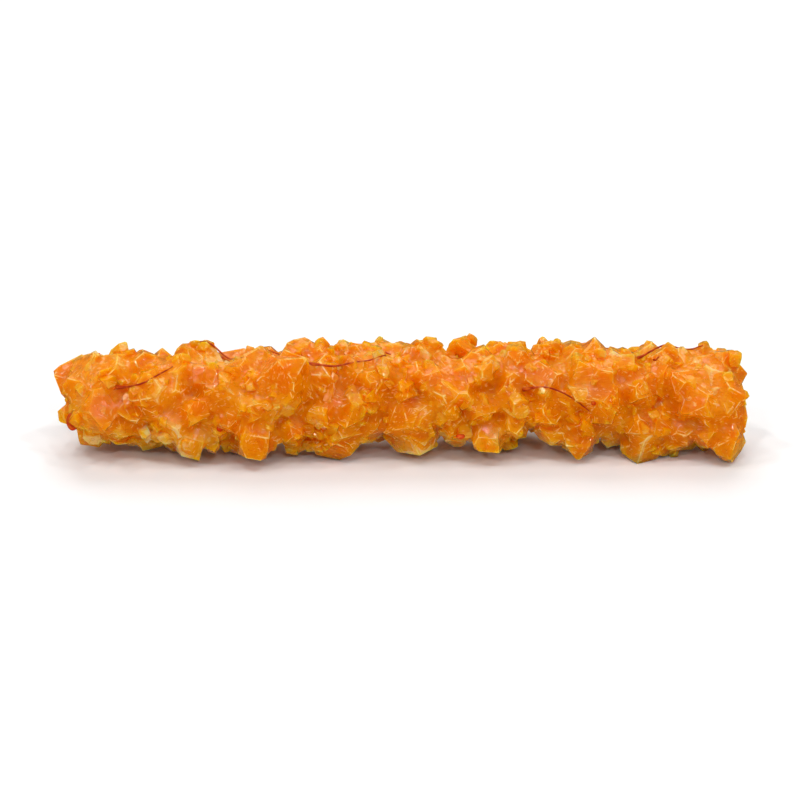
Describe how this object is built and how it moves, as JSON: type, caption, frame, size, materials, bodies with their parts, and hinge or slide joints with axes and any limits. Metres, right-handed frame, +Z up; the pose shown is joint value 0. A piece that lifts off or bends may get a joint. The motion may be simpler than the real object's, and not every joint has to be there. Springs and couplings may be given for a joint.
{
  "type": "rock candy stick",
  "caption": "Straight stick of translucent saffron rock sugar, a crust of blocky crystals round a solid heart, with one rounded and one blunt end, lying down.",
  "frame": {"origin": "on the surface that the stick lies on, under the middle of its box", "axes": "+X along the stick from its rounded end to its blunt end, -Y towards the shown side, +Z up"},
  "size_m": [0.1222, 0.0222, 0.0206],
  "materials": {
    "saffron_sugar": "translucent amber rock sugar, glossy crystal faces with a thin film of syrup",
    "cloudy_sugar": "cloudy amber sugar inside the clear crystals",
    "saffron_strand": "dark red dried saffron strand, matte",
    "saffron_syrup": "red-orange bead of saffron syrup, glossy"
  },
  "bodies": {
    "root": {"rock_candy": "saffron_sugar"}
  },
  "joints": []
}
